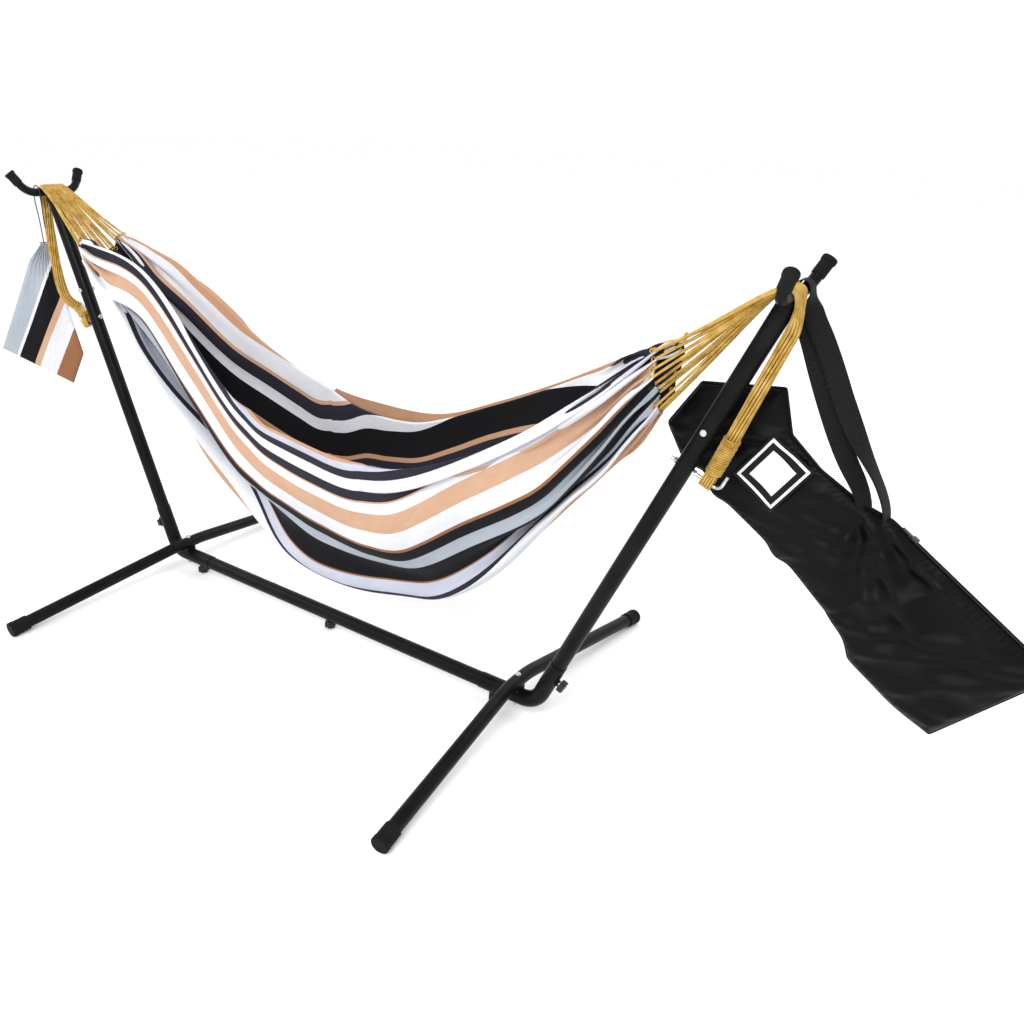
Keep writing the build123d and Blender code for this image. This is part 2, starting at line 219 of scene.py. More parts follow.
def make_gold_cord():
    """Laid cotton cord: the attribute lay holds the way along the cord and the way round it."""
    made = Finish("gold_cord", (0.50, 0.31, 0.06), 0.6, sheen=0.1, specular=0.2)
    lay = made.place("lay")
    at = made.place()
    patches = made.ramp(made.noise(at, 45.0, 4.0), [(0.3, (0.34, 0.185, 0.022)), (0.5, (0.52, 0.32, 0.06)),
                                                    (0.72, (0.66, 0.45, 0.13))])
    fibres = made.noise(made.place("lay", (900.0, 9.0, 1.0)), 1.0, 3.0)
    made.colour(made.mix(made.math("MULTIPLY", fibres, 0.45), patches, (0.20, 0.10, 0.012)))
    made.rough(fibres, 0.5, 0.8)
    made.bump(made.wave(lay, 120.0, "DIAGONAL"), 0.5, 0.0004)
    made.bump(fibres, 0.3, 0.0002)
    return made.material


def make_dark_cord():
    """The pouch's drawstring."""
    made = Finish("dark_cord", (0.02, 0.02, 0.022), 0.7, sheen=0.1, specular=0.15)
    lay = made.place("lay")
    fibres = made.noise(made.place("lay", (1200.0, 8.0, 1.0)), 1.0, 3.0)
    made.colour(made.ramp(fibres, [(0.3, (0.010, 0.010, 0.011)), (0.75, (0.055, 0.054, 0.056))]))
    made.bump(made.wave(lay, 150.0, "DIAGONAL"), 0.6, 0.0004)
    return made.material


TAN = (0.53, 0.295, 0.175)
PEACH = (0.56, 0.345, 0.225)
WHITE = (0.71, 0.72, 0.76)
# Painted shade: the lavender that white cloth shows in shadow, given as a stripe colour of its own
SHADED_WHITE = (0.50, 0.52, 0.61)
GREY = (0.38, 0.42, 0.47)
NAVY = (0.021, 0.019, 0.030)
BLACK = (0.0045, 0.0045, 0.006)
BROWN = (0.28, 0.125, 0.058)
FABRIC_W = 1.34
# The lavender stripes in this table are painted shade on white cloth, not a dye of their own
STRIPES = [  # width in mm and colour, from the front hem to the rear hem
    (8, TAN), (20, SHADED_WHITE), (26, NAVY), (36, WHITE), (32, NAVY), (8, PEACH), (28, WHITE), (60, PEACH),
    (58, WHITE), (10, BROWN), (38, BLACK), (44, GREY), (72, BLACK), (8, BROWN), (44, SHADED_WHITE), (12, NAVY),
    (64, WHITE), (58, TAN), (90, PEACH), (92, WHITE), (42, BLACK), (44, GREY), (52, NAVY), (22, SHADED_WHITE),
    (26, NAVY), (16, TAN), (88, BLACK), (46, WHITE), (56, NAVY), (15, PEACH), (75, WHITE), (50, TAN),
]
POUCH_STRIPES = [  # width in mm and colour, across the pouch
    (52, GREY), (10, WHITE), (56, BLACK), (20, PEACH), (56, WHITE), (66, BROWN),
]


def make_striped(name, stripes, width):
    """Woven stripes from a table; any lavender entries in it are painted shade on white cloth. The attribute
    cloth holds the way across the cloth and the way along it, in metres.
    """
    made = Finish(name, WHITE, 0.85, sheen=0.04, specular=0.12)
    cloth = made.place("cloth")
    across = made.node("ShaderNodeSeparateXYZ")
    made.link(cloth, across.inputs["Vector"])
    thread = made.noise(made.place("cloth", (40.0, 900.0, 1.0)), 1.0, 1.0)
    jitter = made.math("MULTIPLY", made.math("SUBTRACT", thread, 0.5), 0.0024)
    shifted = made.math("ADD", across.outputs["X"], jitter)
    total = sum(mm for mm, _ in stripes)
    stops = []
    start = 0.0
    for mm, colour in stripes:
        stops.append((start / total, colour))
        start += mm
    stripe = made.ramp(made.math("DIVIDE", shifted, width), stops, "CONSTANT")
    slubs = made.noise(made.place("cloth", (700.0, 26.0, 1.0)), 1.0, 3.0)
    worn = made.noise(made.place("cloth", (9.0, 6.0, 1.0)), 1.0, 4.0)
    shade = made.ramp(slubs, [(0.25, (0.80, 0.80, 0.80)), (0.7, (1.0, 1.0, 1.0))])
    broad = made.ramp(worn, [(0.3, (0.88, 0.88, 0.90)), (0.65, (1.0, 1.0, 1.0))])
    made.colour(made.mix(1.0, made.mix(1.0, stripe, shade, "MULTIPLY"), broad, "MULTIPLY"))
    made.rough(slubs, 0.75, 0.95)
    warp = made.wave(cloth, 95.0, "X")
    weft = made.wave(cloth, 130.0, "Y")
    made.bump(made.math("ADD", warp, made.math("MULTIPLY", weft, 0.6)), 0.35, 0.0006)
    made.bump(slubs, 0.25, 0.0008)
    return made.material


def make_nylon():
    """Coated black nylon: a fine grid weave, soft shine and small crumples."""
    made = Finish("bag_nylon", (0.003, 0.003, 0.0035), 0.5, specular=0.09)
    at = made.place()
    patches = made.noise(at, 9.0, 4.0)
    made.colour(made.ramp(patches, [(0.3, (0.0015, 0.0015, 0.002)), (0.75, (0.004, 0.004, 0.0045))]))
    made.rough(made.noise(at, 26.0, 4.0), 0.30, 0.52)
    made.bump(made.noise(at, 18.0, 5.0, 0.55), 0.35, 0.004)
    cloth = made.place("cloth")
    grid = made.math("ADD", made.wave(cloth, 190.0, "X"), made.wave(cloth, 190.0, "Y"))
    made.bump(grid, 0.25, 0.0003)
    return made.material


def make_webbing(name, dark, light, ribs):
    """Ribbed webbing or tape: the attribute cloth runs across and along it."""
    made = Finish(name, dark, 0.7, sheen=0.03, specular=0.08)
    cloth = made.place("cloth")
    fibres = made.noise(made.place("cloth", (600.0, 160.0, 1.0)), 1.0, 3.0)
    made.colour(made.ramp(fibres, [(0.3, dark), (0.75, light)]))
    made.rough(fibres, 0.55, 0.85)
    made.bump(made.wave(cloth, ribs, "X"), 0.6, 0.0006)
    made.bump(made.wave(cloth, ribs * 1.6, "Y"), 0.4, 0.0003)
    return made.material


def make_patch():
    """A plain woven label: a pale border round a pale square, on black."""
    made = Finish("label_woven", (0.02, 0.02, 0.02), 0.75, sheen=0.05, specular=0.15)
    parts = made.node("ShaderNodeSeparateXYZ")
    made.link(made.place("cloth"), parts.inputs["Vector"])
    across = made.math("DIVIDE", made.math("ABSOLUTE", parts.outputs["X"]), 0.055)
    down = made.math("DIVIDE", made.math("ABSOLUTE", parts.outputs["Y"]), 0.062)
    rim = made.math("MAXIMUM", across, down)
    border = made.math("MULTIPLY", made.math("GREATER_THAN", rim, 0.80), made.math("LESS_THAN", rim, 0.90))
    pale = made.math("MAXIMUM", border, made.math("LESS_THAN", rim, 0.58))
    threads = made.ramp(made.noise(made.place("cloth", (300.0, 900.0, 1.0)), 1.0, 2.0),
                        [(0.3, (0.58, 0.58, 0.57)), (0.7, (0.80, 0.80, 0.79))])
    made.colour(made.mix(pale, (0.006, 0.006, 0.007), threads))
    cloth = made.place("cloth")
    made.bump(made.math("ADD", made.wave(cloth, 260.0, "X"), made.wave(cloth, 260.0, "Y")), 0.35, 0.0003)
    return made.material


MATERIALS = {
    "frame_paint": moulded("frame_paint", (0.0025, 0.0025, 0.0025), (0.006, 0.006, 0.0065), 0.28, 0.45,
                           1500.0, 0.00025, specular=0.10),
    "rubber_black": moulded("rubber_black", (0.004, 0.004, 0.004), (0.010, 0.010, 0.0095), 0.62, 0.85,
                            900.0, 0.0003, specular=0.10),
    "knob_plastic": moulded("knob_plastic", (0.010, 0.010, 0.011), (0.020, 0.020, 0.021), 0.38, 0.55,
                            1200.0, 0.0002, specular=0.2),
    "zinc_steel": make_zinc(),
    "gold_cord": make_gold_cord(),
    "dark_cord": make_dark_cord(),
    "striped_cotton": make_striped("striped_cotton", STRIPES, FABRIC_W),
    "pouch_cotton": make_striped("pouch_cotton", POUCH_STRIPES, 0.260),
    "bag_nylon": make_nylon(),
    "strap_webbing": make_webbing("strap_webbing", (0.003, 0.003, 0.0035), (0.016, 0.016, 0.017), 110.0),
    "zip_tape": make_webbing("zip_tape", (0.008, 0.008, 0.009), (0.035, 0.035, 0.037), 220.0),
    "zip_metal": moulded("zip_metal", (0.03, 0.03, 0.032), (0.07, 0.07, 0.072), 0.25, 0.4, 800.0, 0.0001,
                         metallic=0.8),
    "label_woven": make_patch(),
}

SLOT_OF = {subpart["node"]: subpart["material_slot"] for subpart in frame["record"]["subparts"]}
for part, node in frame["nodes"].items():
    node.data.materials.clear()
    node.data.materials.append(MATERIALS[SLOT_OF[part]])


# Meshes from grids of points

def build(name, slot, body, grids, replaces=()):
    """One object from grids, each (points m x n x 3, attribute m x n x 2, closed across), that rides body."""
    verts, faces, coords = [], [], []
    base = 0
    for points, attribute, closed in grids:
        m, n = points.shape[:2]
        index = base + np.arange(m * n).reshape(m, n)
        after = np.roll(index, -1, axis=1) if closed else index[:, 1:]
        here = index if closed else index[:, :-1]
        quads = np.stack([here[:-1], after[:-1], after[1:], here[1:]], axis=-1).reshape(-1, 4)
        verts.append(points.reshape(-1, 3))
        faces.append(quads)
        coords.append(attribute.reshape(-1, 2))
        base += m * n
    verts, faces, coords = np.concatenate(verts), np.concatenate(faces), np.concatenate(coords)
    mesh = bpy.data.meshes.new(name)
    mesh.from_pydata(verts.tolist(), [], faces.tolist())
    vectors = np.hstack([coords, np.zeros((len(coords), 1))]).astype(np.float32).ravel()
    for key in ("cloth", "lay"):
        stored = mesh.attributes.new(key, "FLOAT_VECTOR", "POINT")
        stored.data.foreach_set("vector", vectors)
    mesh.polygons.foreach_set("use_smooth", [True] * len(faces))
    mesh.update()
    piece = bpy.data.objects.new(name, mesh)
    bpy.context.scene.collection.objects.link(piece)
    mesh.materials.append(MATERIALS[slot])
    if body:
        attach(piece, body)
    if replaces:
        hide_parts(*replaces)
    return piece


def thicken(piece, thickness, offset=0.0):
    made = piece.modifiers.new("thickness", "SOLIDIFY")
    made.thickness = thickness
    made.offset = offset
    return piece


def route(points, count, order=3):
    """Evenly spaced points of the smooth NURBS line that has these control points."""
    curve = bpy.data.curves.new("route", "CURVE")
    curve.dimensions = "3D"
    curve.resolution_u = 24
    spline = curve.splines.new("NURBS")
    spline.points.add(len(points) - 1)
    for control, point in zip(spline.points, points):
        control.co = (*[float(c) for c in point], 1)
    spline.order_u = order
    spline.use_endpoint_u = True
    holder = bpy.data.objects.new("route", curve)
    mesh = bpy.data.meshes.new_from_object(holder)
    line = np.array([v.co for v in mesh.vertices])
    bpy.data.objects.remove(holder)
    bpy.data.curves.remove(curve)
    bpy.data.meshes.remove(mesh)
    return resample(line, count)


def resample(line, count):
    steps = np.linalg.norm(np.diff(line, axis=0), axis=1)
    along = np.concatenate([[0], np.cumsum(steps)])
    at = np.linspace(0, along[-1], count)
    return np.stack([np.interp(at, along, line[:, k]) for k in range(3)], axis=1)


def turning_frames(line):
    """Two normals along a line, turning as little as they can."""
    tangents = np.gradient(line, axis=0)
    tangents /= np.linalg.norm(tangents, axis=1, keepdims=True)
    side = np.cross(tangents[0], (0.3, 0.9, 0.2))
    side /= np.linalg.norm(side)
    sides = []
    for tangent in tangents:
        side = side - tangent * side.dot(tangent)
        side /= np.linalg.norm(side)
        sides.append(side)
    sides = np.array(sides)
    return sides, np.cross(tangents, sides)


def laid_cord(line, radius, lobes=3, lay=0.011, around=9, phase=0.0):
    """A grid round a line: a cord of twisted strands whose lobes climb once in each lay."""
    sides, ups = turning_frames(line)
    steps = np.linalg.norm(np.diff(line, axis=0), axis=1)
    along = np.concatenate([[0], np.cumsum(steps)])
    angle = np.linspace(0, 2 * math.pi, around, endpoint=False)
    twist = 2 * math.pi * along / lay + phase
    bulge = 1 + 0.13 * np.cos(lobes * (angle[None, :] - twist[:, None]))
    ring = radius * 0.88 * bulge
    points = (line[:, None, :] + sides[:, None, :] * (ring * np.cos(angle))[..., None]
              + ups[:, None, :] * (ring * np.sin(angle))[..., None])
    attribute = np.stack(np.broadcast_arrays(angle[None, :] * radius, along[:, None]), axis=-1)
    return points, attribute, True


def cord_count(line, step=0.0016):
    return max(12, int(np.linalg.norm(np.diff(line, axis=0), axis=1).sum() / step))


# The hammock's cloth

SECTIONS_AT = (-0.945, -0.700, -0.470, -0.240, 0.0, 0.240, 0.440, 0.690, 0.945)
SECTIONS_LIFT = (0, 0, 0, 0, 0.023, 0.030, 0.025, 0, 0)  # the cloth hangs less deep than the frame's bed
ROWS = 230
COLUMNS = 620
TURN = 0.007              # half of the cloth taken up by turning over at a fold
GATHERS = 25              # pleats at each end
ANCHORS = 22              # pairs of cords at each end


def through(x, table):
    """Smooth curves through a table whose first column is X."""
    xs, values = table[:, 0], table[:, 1:]
    slopes = np.gradient(values, xs, axis=0)
    k = np.clip(np.searchsorted(xs, x) - 1, 0, len(xs) - 2)
    h = (xs[k + 1] - xs[k])[:, None]
    t = ((x - xs[k]) / (xs[k + 1] - xs[k]))[:, None]
    return ((2 * t**3 - 3 * t**2 + 1) * values[k] + (t**3 - 2 * t**2 + t) * h * slopes[k]
            + (3 * t**2 - 2 * t**3) * values[k + 1] + (t**3 - t**2) * h * slopes[k + 1])


def knots(x, pairs):
    """A smooth line of widths against X, through (X, width) pairs and never below zero."""
    return np.maximum(through(x, np.array(pairs))[:, 0], 0)


def bed_sections():
    """X, underside Z, front hem Y and Z, and rear hem Y and Z of the frame's bed at each section."""
    bed = frame_points("hammock_bed")
    rows = []
    for place, lift in zip(SECTIONS_AT, SECTIONS_LIFT):
        section = bed[np.abs(bed[:, 0] - place) < 0.001]
        front = section[section[:, 1].argmin()]
        rear = section[section[:, 1].argmax()]
        rows.append((place, section[:, 2].min() + lift, *front[1:], *rear[1:]))
    return np.array(rows)


def make_cloth():
    x = np.linspace(-0.945, 0.945, ROWS)
    low, front_y, front_z, rear_y, rear_z = through(x, bed_sections()).T
    turn = np.radians(np.linspace(-90, 90, 241))
    front = turn < 0
    half = np.where(front, -front_y[:, None], rear_y[:, None])
    rim = np.where(front, front_z[:, None], rear_z[:, None])
    base_y = half * np.sin(turn)
    base_z = low[:, None] + (rim - low[:, None]) * (1 - np.cos(turn))
    steps = np.hypot(np.diff(base_y, axis=1), np.diff(base_z, axis=1))
    arc = np.concatenate([np.zeros((ROWS, 1)), np.cumsum(steps, axis=1)], axis=1)

    w = np.linspace(0, FABRIC_W, COLUMNS)
    dw = w[1] - w[0]
    # Folds: cloth rolled in at the front hem, rolled out at the rear hem, and laid back in two pleats
    front_roll = knots(x, [(-0.95, 0.060), (-0.80, 0.082), (-0.66, 0.080), (-0.50, 0.058), (-0.34, 0.040),
                           (-0.18, 0.016), (-0.06, 0.003), (0.04, 0.003), (0.20, 0.015), (0.40, 0.034),
                           (0.58, 0.054), (0.80, 0.056), (0.95, 0.045)])
    rear_crest = knots(x, [(-0.95, 0.044), (-0.86, 0.040), (-0.74, 0.024), (-0.60, 0.012), (-0.50, 0.014),
                           (-0.38, 0.036), (-0.26, 0.048), (-0.17, 0.054), (-0.09, 0.105), (0.0, 0.178),
                           (0.08, 0.196), (0.18, 0.210), (0.34, 0.243), (0.60, 0.240), (0.80, 0.18),
                           (0.95, 0.10)])
    rear_standing = knots(x, [(-0.95, 0.0), (-0.20, 0.0), (-0.13, 0.003), (-0.04, 0.026), (0.05, 0.034),
                              (0.16, 0.026), (0.28, 0.004), (0.36, 0.0), (0.60, 0.0), (0.95, 0.0)])
    rear_back = (rear_crest + rear_standing) / 2 - 0.045 * smoothstep(x, -0.12, -0.18)
    front_pleat = knots(x, [(-0.95, 0.0), (0.05, 0.0), (0.16, 0.002), (0.28, 0.008), (0.42, 0.018),
                            (0.54, 0.026), (0.75, 0.027), (0.95, 0.010)])

    def step_at(position, width=TURN):
        return smoothstep(w[None, :], position[:, None] - width, position[:, None] + width)

    angle = np.zeros((ROWS, COLUMNS))
    strength = smoothstep(front_roll, 0.0, 0.036)[:, None]
    angle -= math.pi * strength * (1 - step_at(front_roll))
    strength = smoothstep(rear_crest, 0.0, 0.022)[:, None]
    angle -= 0.93 * math.pi * strength * (step_at(FABRIC_W - rear_crest) - step_at(FABRIC_W - rear_back))
    strength = smoothstep(front_pleat, 0.0, 0.026)[:, None]
    first = np.full(ROWS, 0.092)
    angle += 0.95 * math.pi * strength * (step_at(first) - step_at(first + front_pleat))
    end = 0.945 - np.abs(x)
    calm = 1 - smoothstep(end, 0.04, 0.30)[:, None] * (
        0.88 * smoothstep(w, FABRIC_W - 0.46, FABRIC_W - 0.35)[None, :]
        + 0.88 * smoothstep(w, 0.40, 0.30)[None, :])

    # Pleats that deepen towards the gathered ends, so that the cloth keeps its width
    phase = np.cumsum(np.interp(w, np.linspace(0, FABRIC_W, 31), rng.uniform(0.75, 1.25, 31)))
    fine = 2 * math.pi * GATHERS * phase / phase[-1]
    phase = np.cumsum(np.interp(w, np.linspace(0, FABRIC_W, 13), rng.uniform(0.6, 1.4, 13)))
    middling = 2 * math.pi * 11 * phase / phase[-1] + 1.1
    phase = np.cumsum(np.interp(w, np.linspace(0, FABRIC_W, 9), rng.uniform(0.6, 1.4, 9)))
    broad = 2 * math.pi * 5 * phase / phase[-1]
    wander = 0.9 * np.sin(5.3 * x + 0.7)[:, None] + 0.5 * np.sin(11.0 * x + 2.0)[:, None]
    shape = (smoothstep(end, 0.32, 0.0)[:, None] * np.sin(fine)[None, :]
             + (0.75 * smoothstep(end, 0.75, 0.10) * (1 - 0.7 * smoothstep(end, 0.10, 0.0)))[:, None]
             * np.sin(middling[None, :] + 0.35 * wander)
             + (0.35 + 0.25 * smoothstep(end, 0.9, 0.3) * smoothstep(end, 0.0, 0.2))[:, None]
             * np.sin(broad[None, :] + wander)) * calm
    wanted = arc[:, -1]
    small, large = np.full(ROWS, 0.12), np.full(ROWS, 2.05)
    for _ in range(22):
        tried = (small + large) / 2
        reached = np.cos(angle + tried[:, None] * shape).sum(axis=1) * dw
        too_long = reached > wanted
        small, large = np.where(too_long, tried, small), np.where(too_long, large, tried)
    smoother = np.hanning(15)[1:-1] / np.hanning(15).sum()
    depth = np.convolve(np.pad((small + large) / 2, 6, mode="edge"), smoother, mode="valid")
    angle = angle + depth[:, None] * shape

    def total(values):
        return np.concatenate([np.zeros((ROWS, 1)), np.cumsum((values[:, 1:] + values[:, :-1]) / 2, axis=1)],
                              axis=1) * dw
    along, off = total(np.cos(angle)), total(np.sin(angle))
    lowest = along.min(axis=1, keepdims=True)
    along = (along - lowest) / (along.max(axis=1, keepdims=True) - lowest)
    centred = w[None, :] / FABRIC_W - 0.5
    off = off - off.sum(axis=1, keepdims=True) * dw / FABRIC_W
    slope = (off * centred).sum(axis=1, keepdims=True) / (centred**2).sum(axis=1, keepdims=True)
    off = off - slope * centred
    points = np.zeros((ROWS, COLUMNS, 3))
    for row in range(ROWS):
        at = along[row] * arc[row, -1]
        y = np.interp(at, arc[row], base_y[row])
        z = np.interp(at, arc[row], base_z[row])
        ty = np.interp(at, arc[row], np.gradient(base_y[row], arc[row]))
        tz = np.interp(at, arc[row], np.gradient(base_z[row], arc[row]))
        length = np.hypot(ty, tz)
        points[row, :, 0] = x[row]
        points[row, :, 1] = y - off[row] * tz / length
        points[row, :, 2] = z + off[row] * ty / length
    ends = smoothstep(end, 0.03, 0.0)[:, None] * np.sign(x)[:, None]
    points[:, :, 0] += ends * (0.006 * np.sin(fine)[None, :] - 0.004) + MIDDLE
    points[:, :, 2] += 0.002 * np.sin(17 * x)[:, None]
    group = np.minimum((w / FABRIC_W * ANCHORS).astype(int), ANCHORS - 1)
    drawn = 0.86 * smoothstep(end, 0.050, 0.002)
    for k in range(ANCHORS):
        tuft = group == k
        centre = points[:, tuft].mean(axis=1, keepdims=True)
        points[:, tuft] += (centre - points[:, tuft]) * drawn[:, None, None]
    attribute = np.stack(np.broadcast_arrays(w[None, :], (x[:, None] * 1.18)), axis=-1)
    return points, attribute


cloth_points, cloth_attribute = make_cloth()
cloth = build("hammock_cloth", "striped_cotton", "hammock", [(cloth_points, cloth_attribute, False)],
              replaces=["hammock_bed"])
thicken(cloth, 0.0013)


# The cords: fans to the saddles, bands over the yokes, bundles down to the hooks

CORD_R = 0.0029
BUNDLE_R = 0.0028


def fan_cords(name, side):
    row = cloth_points[0] if side < 0 else cloth_points[-1]
    yoke = upright_point(side, YOKE_AT)
    grids = []
    for k in range(2 * ANCHORS):
        anchor = k // 2
        column = int((anchor + 0.5) / ANCHORS * (COLUMNS - 1))
        start = row[column] + np.array([side * -0.004, 0.0, 0.0])
        spread = (k - (2 * ANCHORS - 1) / 2) / ANCHORS
        y = 0.040 * spread + rng.uniform(-0.0006, 0.0006)
        lift = 0.0152 + 0.0026 * (k % 3)
        over = yoke + np.array([-side * 0.004, y, lift])
        near = yoke + np.array([-side * 0.024, y * 1.02, lift - 0.004])
        middle = (start + near) / 2 + np.array([0.0, 0.0, -0.004 - 0.003 * rng.random()])
        lead = start + (near - start) * 0.12 + np.array([0.0, 0.0, -0.002])
        line = route([start, lead, middle, near, over], 60)
        line = resample(line, cord_count(line))
        grids.append(laid_cord(line, CORD_R, phase=rng.uniform(0, 6)))
        if k % 2 == 0:
            turn = np.linspace(0, 2 * math.pi, 30)
            knot = start + np.stack([0.002 * np.cos(turn) - side * 0.003, 0.0042 * np.cos(turn),
                                     0.0042 * np.sin(turn)], axis=1)
            grids.append(laid_cord(resample(knot, 34), 0.0016))
    fan = build(f"fan_strands_{name}", "gold_cord", None, grids, replaces=[f"fan_cords_{name}"])
    start = (yoke[0] - side * 0.030, 0, yoke[2])
    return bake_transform(fan)


def bundle_places():
    """Where the bundle's cords lie in its round section: twelve outside and six inside."""
    places = []
    for count, radius, first in ((12, 0.0122, 0.0), (6, 0.0062, 0.4)):
        for k in range(count):
            turn = 2 * math.pi * k / count + first
            places.append((radius * math.cos(turn), radius * math.sin(turn)))
    return places


def end_loop(name, side):
    yoke = upright_point(side, YOKE_AT)
    out = np.array([side * math.cos(LEAN), 0, -math.sin(LEAN)])
    up = np.array([side * math.sin(LEAN), 0, math.cos(LEAN)])
    shoulder = upright_point(side, YOKE_AT - 0.004, 0.041 if side < 0 else 0.033)
    bottom = upright_point(side, HOOK_AT + 0.022, 0.056)
    waist = upright_point(side, 0.870, 0.078, -0.045) if side < 0 else (shoulder + bottom) / 2
    hook = upright_point(side, HOOK_AT, 0.056)
    centre = route([shoulder, shoulder * 0.75 + waist * 0.25 + out * (0.006 if side < 0 else 0), waist,
                    bottom + up * 0.03, bottom], 90)
    sides, ups = turning_frames(centre)
    grids = []
    places = sorted(bundle_places(), key=lambda place: (sides[0] * place[0] + ups[0] * place[1])[1])
    for k, (a, b) in enumerate(places):
        spread = (k - (len(places) - 1) / 2) / (len(places) / 2)
        y = 0.040 * spread
        lift = 0.0155 + 0.001 * (k % 2)
        over = yoke + np.array([-side * 0.006, y, lift])
        crest = yoke + np.array([side * 0.010, y, lift - 0.001])
        drop = yoke + out * 0.0185 + np.array([0, y * (0.82 if side < 0 else 0.70), 0.0])
        twist = np.linspace(0, 1.3 if side > 0 else 2.4, len(centre))
        ca, cb = a * np.cos(twist) - b * np.sin(twist), a * np.sin(twist) + b * np.cos(twist)
        strand = centre + sides * ca[:, None] + ups * cb[:, None]
        loose = 1 + (0.10 if side < 0 else 0.03) * np.sin(np.linspace(0, 3.1, len(centre)) + k)
        strand = centre + (strand - centre) * loose[:, None]
        line = route([over, crest, drop, *strand[10::8]], 120)
        line = resample(line, cord_count(line, 0.0022))
        grids.append(laid_cord(line, BUNDLE_R, lay=0.016, around=8, phase=rng.uniform(0, 6)))
    for k in range(5):
        shift = out * (k - 2) * 0.0056
        width = 0.0095 + 0.001 * (k % 2)
        points = [bottom + up * 0.012 + np.array([0, width * 0.7, 0]) + shift * 0.7,
                  bottom + np.array([0, width, 0]) + shift - up * 0.006,
                  hook + np.array([0, width, 0]) + shift,
                  hook + np.array([0, width * 0.7, 0]) + shift - up * 0.0115,
                  hook + np.array([0, -width * 0.7, 0]) + shift - up * 0.0115,
                  hook + np.array([0, -width, 0]) + shift,
                  bottom + np.array([0, -width, 0]) + shift - up * 0.006,
                  bottom + up * 0.012 + np.array([0, -width * 0.7, 0]) + shift * 0.7]
        line = route(points, 60)
        line = resample(line, cord_count(line, 0.0020))
        grids.append(laid_cord(line, 0.0027, lay=0.016, around=8, phase=k))
    build(f"loop_strands_{name}", "gold_cord", "root", grids,
          replaces=[f"end_loop_{name}", f"saddle_band_{name}"])

    length = min(0.085, np.linalg.norm(waist - bottom) * 0.5)
    turns = int(length / 0.0046)
    nearest = resample(centre[::-1], 400)
    travel = np.linspace(0, 1, turns * 26)
    share = (0.004 + travel * length) / np.linalg.norm(np.diff(centre, axis=0), axis=1).sum()
    spot = np.stack([np.interp(share, np.linspace(0, 1, 400), nearest[:, k]) for k in range(3)], axis=1)
    sides, ups = turning_frames(spot)
    turn = travel * turns * 2 * math.pi
    radius = 0.0158 + 0.0004 * np.sin(turn * 0.37)
    helix = spot + sides * (radius * np.cos(turn))[:, None] + ups * (radius * np.sin(turn))[:, None]
    wrap = laid_cord(resample(helix, turns * 40), 0.0023, around=8)
    build(f"whipping_cord_{name}", "gold_cord", "root", [wrap], replaces=[f"loop_whipping_{name}"])


for side_name, side_sign in SIDES.items():
    fan_cords(side_name, side_sign)
    end_loop(side_name, side_sign)


# The carry bag: a flat nylon shell that is empty, so that it creases where the strap lifts it

LONG_RUN = 0.020          # any straight run of the frame's outline is longer, any part of a corner shorter
# Each dent's place along the bag's lower edge, its depth and width; a bulge has a depth below zero
EDGE_DENTS = ((0.25, 0.012, 0.024), (0.30, -0.009, 0.024), (0.48, -0.010, 0.024), (0.70, 0.010, 0.040),
              (0.87, -0.008, 0.070))
STRAP_ENDS = ((1.345, 0.754), (1.388, 0.7407))


def smooth_line(points, count, passes=2):
    line = resample(np.array([(x, 0, z) for x, z in points]), count)
    for _ in range(passes):
        line[1:-1] = (line[:-2] + 2 * line[1:-1] + line[2:]) / 4
    return line


def front_rim(node):
    """X and Z of the points round a CAD node's front face, in order and counterclockwise."""
    points = frame_points(node)[:, [0, 2]]
    edges = [edge for face in frame["nodes"][node].data.polygons if face.normal.y < -0.99
             for edge in face.edge_keys]
    beside = {}
    for a, b in edges:
        if edges.count((a, b)) == 1:
            beside.setdefault(a, []).append(b)
            beside.setdefault(b, []).append(a)
    order = [next(iter(beside))]
    while len(order) < len(beside):
        order.append(next(k for k in beside[order[-1]] if k not in order))
    rim = points[order]
    area = np.sum(rim[:, 0] * np.roll(rim[:, 1], -1) - rim[:, 1] * np.roll(rim[:, 0], -1))
    return rim if area > 0 else rim[::-1]


def sharp_corners(rim):
    """Where the long straight runs of a rounded outline would meet."""
    runs = [(p, q - p) for p, q in zip(rim, np.roll(rim, -1, axis=0)) if np.linalg.norm(q - p) > LONG_RUN]
    corners = []
    for (p, along), (q, onward) in zip(runs, runs[1:] + runs[:1]):
        reach = np.linalg.solve(np.stack([along, -onward], axis=1), q - p)[0]
        corners.append(p + reach * along)
    return np.array(corners)


def bag_edges():
    """The bag's lower and upper edges from its left end to its right end, without dents."""
    corners = sharp_corners(front_rim("carry_bag"))
    corners = np.roll(corners, -np.argmax(corners @ (-1, 1)), axis=0)
    lowest, rightmost, highest = corners[:, 1].argmin(), corners[:, 0].argmax(), corners[:, 1].argmax()
    return corners[:lowest + 1], corners[rightmost:highest + 1][::-1]


def dented(line):
    """The lower edge with a dent where a crease reaches it, or a bulge beside one."""
    steps = np.linalg.norm(np.diff(line, axis=0), axis=1)
    along = np.concatenate([[0], np.cumsum(steps)])
    inward = np.gradient(line, axis=0)[:, [2, 1, 0]] * (-1, 0, 1)
    inward /= np.linalg.norm(inward, axis=1, keepdims=True)
    depth = sum(deep * np.exp(-((along - place) / width) ** 2) for place, deep, width in EDGE_DENTS)
    return line + inward * depth[:, None]


